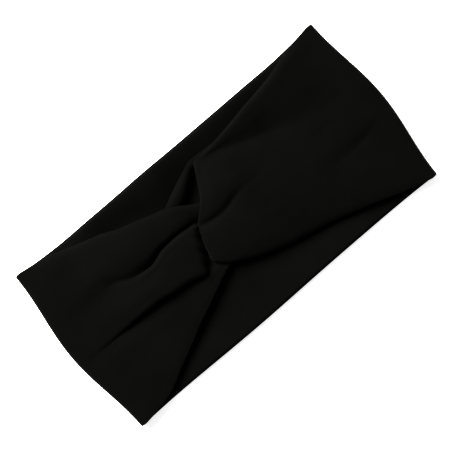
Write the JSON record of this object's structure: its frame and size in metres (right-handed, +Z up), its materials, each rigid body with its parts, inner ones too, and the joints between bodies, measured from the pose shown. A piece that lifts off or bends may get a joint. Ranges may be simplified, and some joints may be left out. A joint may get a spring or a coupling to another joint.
{
  "type": "knotted headband",
  "caption": "Wide knotted headband of doubled stretch jersey: two hooked loops gathered into a front knot, joined by a seam at the back; opens from folded flat to a round loop.",
  "frame": {"origin": "middle of the back seam, on the underside of the back half, which rests on the table", "axes": "+X along the band towards the side fold of the loop that lies on top in the knot, +Y across the band, +Z up through the knot"},
  "size_m": [0.2398, 0.1156, 0.0161],
  "materials": {
    "jersey": "matte black fine-knit jersey with a faint fuzz",
    "thread": "black polyester sewing thread"
  },
  "bodies": {
    "back_centre": {"right_outer_end": "jersey", "right_inner_end": "jersey", "left_outer_end": "jersey", "left_inner_end": "jersey", "outer_seam_thread": "thread", "inner_seam_thread": "thread"},
    "back_right": {"right_outer_back": "jersey", "right_inner_back": "jersey"},
    "front_right": {"right_outer_front": "jersey", "right_inner_front": "jersey"},
    "knot_right": {"right_loop_bend": "jersey"},
    "back_left": {"left_outer_back": "jersey", "left_inner_back": "jersey"},
    "front_left": {"left_outer_front": "jersey", "left_inner_front": "jersey"},
    "knot_left": {"left_loop_bend": "jersey"}
  },
  "joints": [
    {"name": "right_back_hinge", "type": "hinge", "parent": "back_centre", "child": "back_right", "pos_m": [0.03, 0, 0.0034], "axis": [0, -1, 0], "range_deg": [0, 60]},
    {"name": "right_fold_hinge", "type": "hinge", "parent": "back_right", "child": "front_right", "pos_m": [0.1203, 0, 0.0041], "axis": [0, 1, 0], "range_deg": [0, 120]},
    {"name": "right_knot_hinge", "type": "hinge", "parent": "front_right", "child": "knot_right", "pos_m": [0.03, 0, 0.0048], "axis": [0, -1, 0], "range_deg": [0, 60]},
    {"name": "left_back_hinge", "type": "hinge", "parent": "back_centre", "child": "back_left", "pos_m": [-0.03, 0, 0.0034], "axis": [0, 1, 0], "range_deg": [0, 60]},
    {"name": "left_fold_hinge", "type": "hinge", "parent": "back_left", "child": "front_left", "pos_m": [-0.1203, 0, 0.0041], "axis": [0, -1, 0], "range_deg": [0, 120]},
    {"name": "left_knot_hinge", "type": "hinge", "parent": "front_left", "child": "knot_left", "pos_m": [-0.03, 0, 0.0048], "axis": [0, 1, 0], "range_deg": [0, 60]}
  ],
  "couplings": [
    {"joint": "right_fold_hinge", "follows": "right_back_hinge", "ratio": 2},
    {"joint": "right_knot_hinge", "follows": "right_back_hinge", "ratio": 1},
    {"joint": "left_back_hinge", "follows": "right_back_hinge", "ratio": 1},
    {"joint": "left_fold_hinge", "follows": "right_back_hinge", "ratio": 2},
    {"joint": "left_knot_hinge", "follows": "right_back_hinge", "ratio": 1}
  ]
}
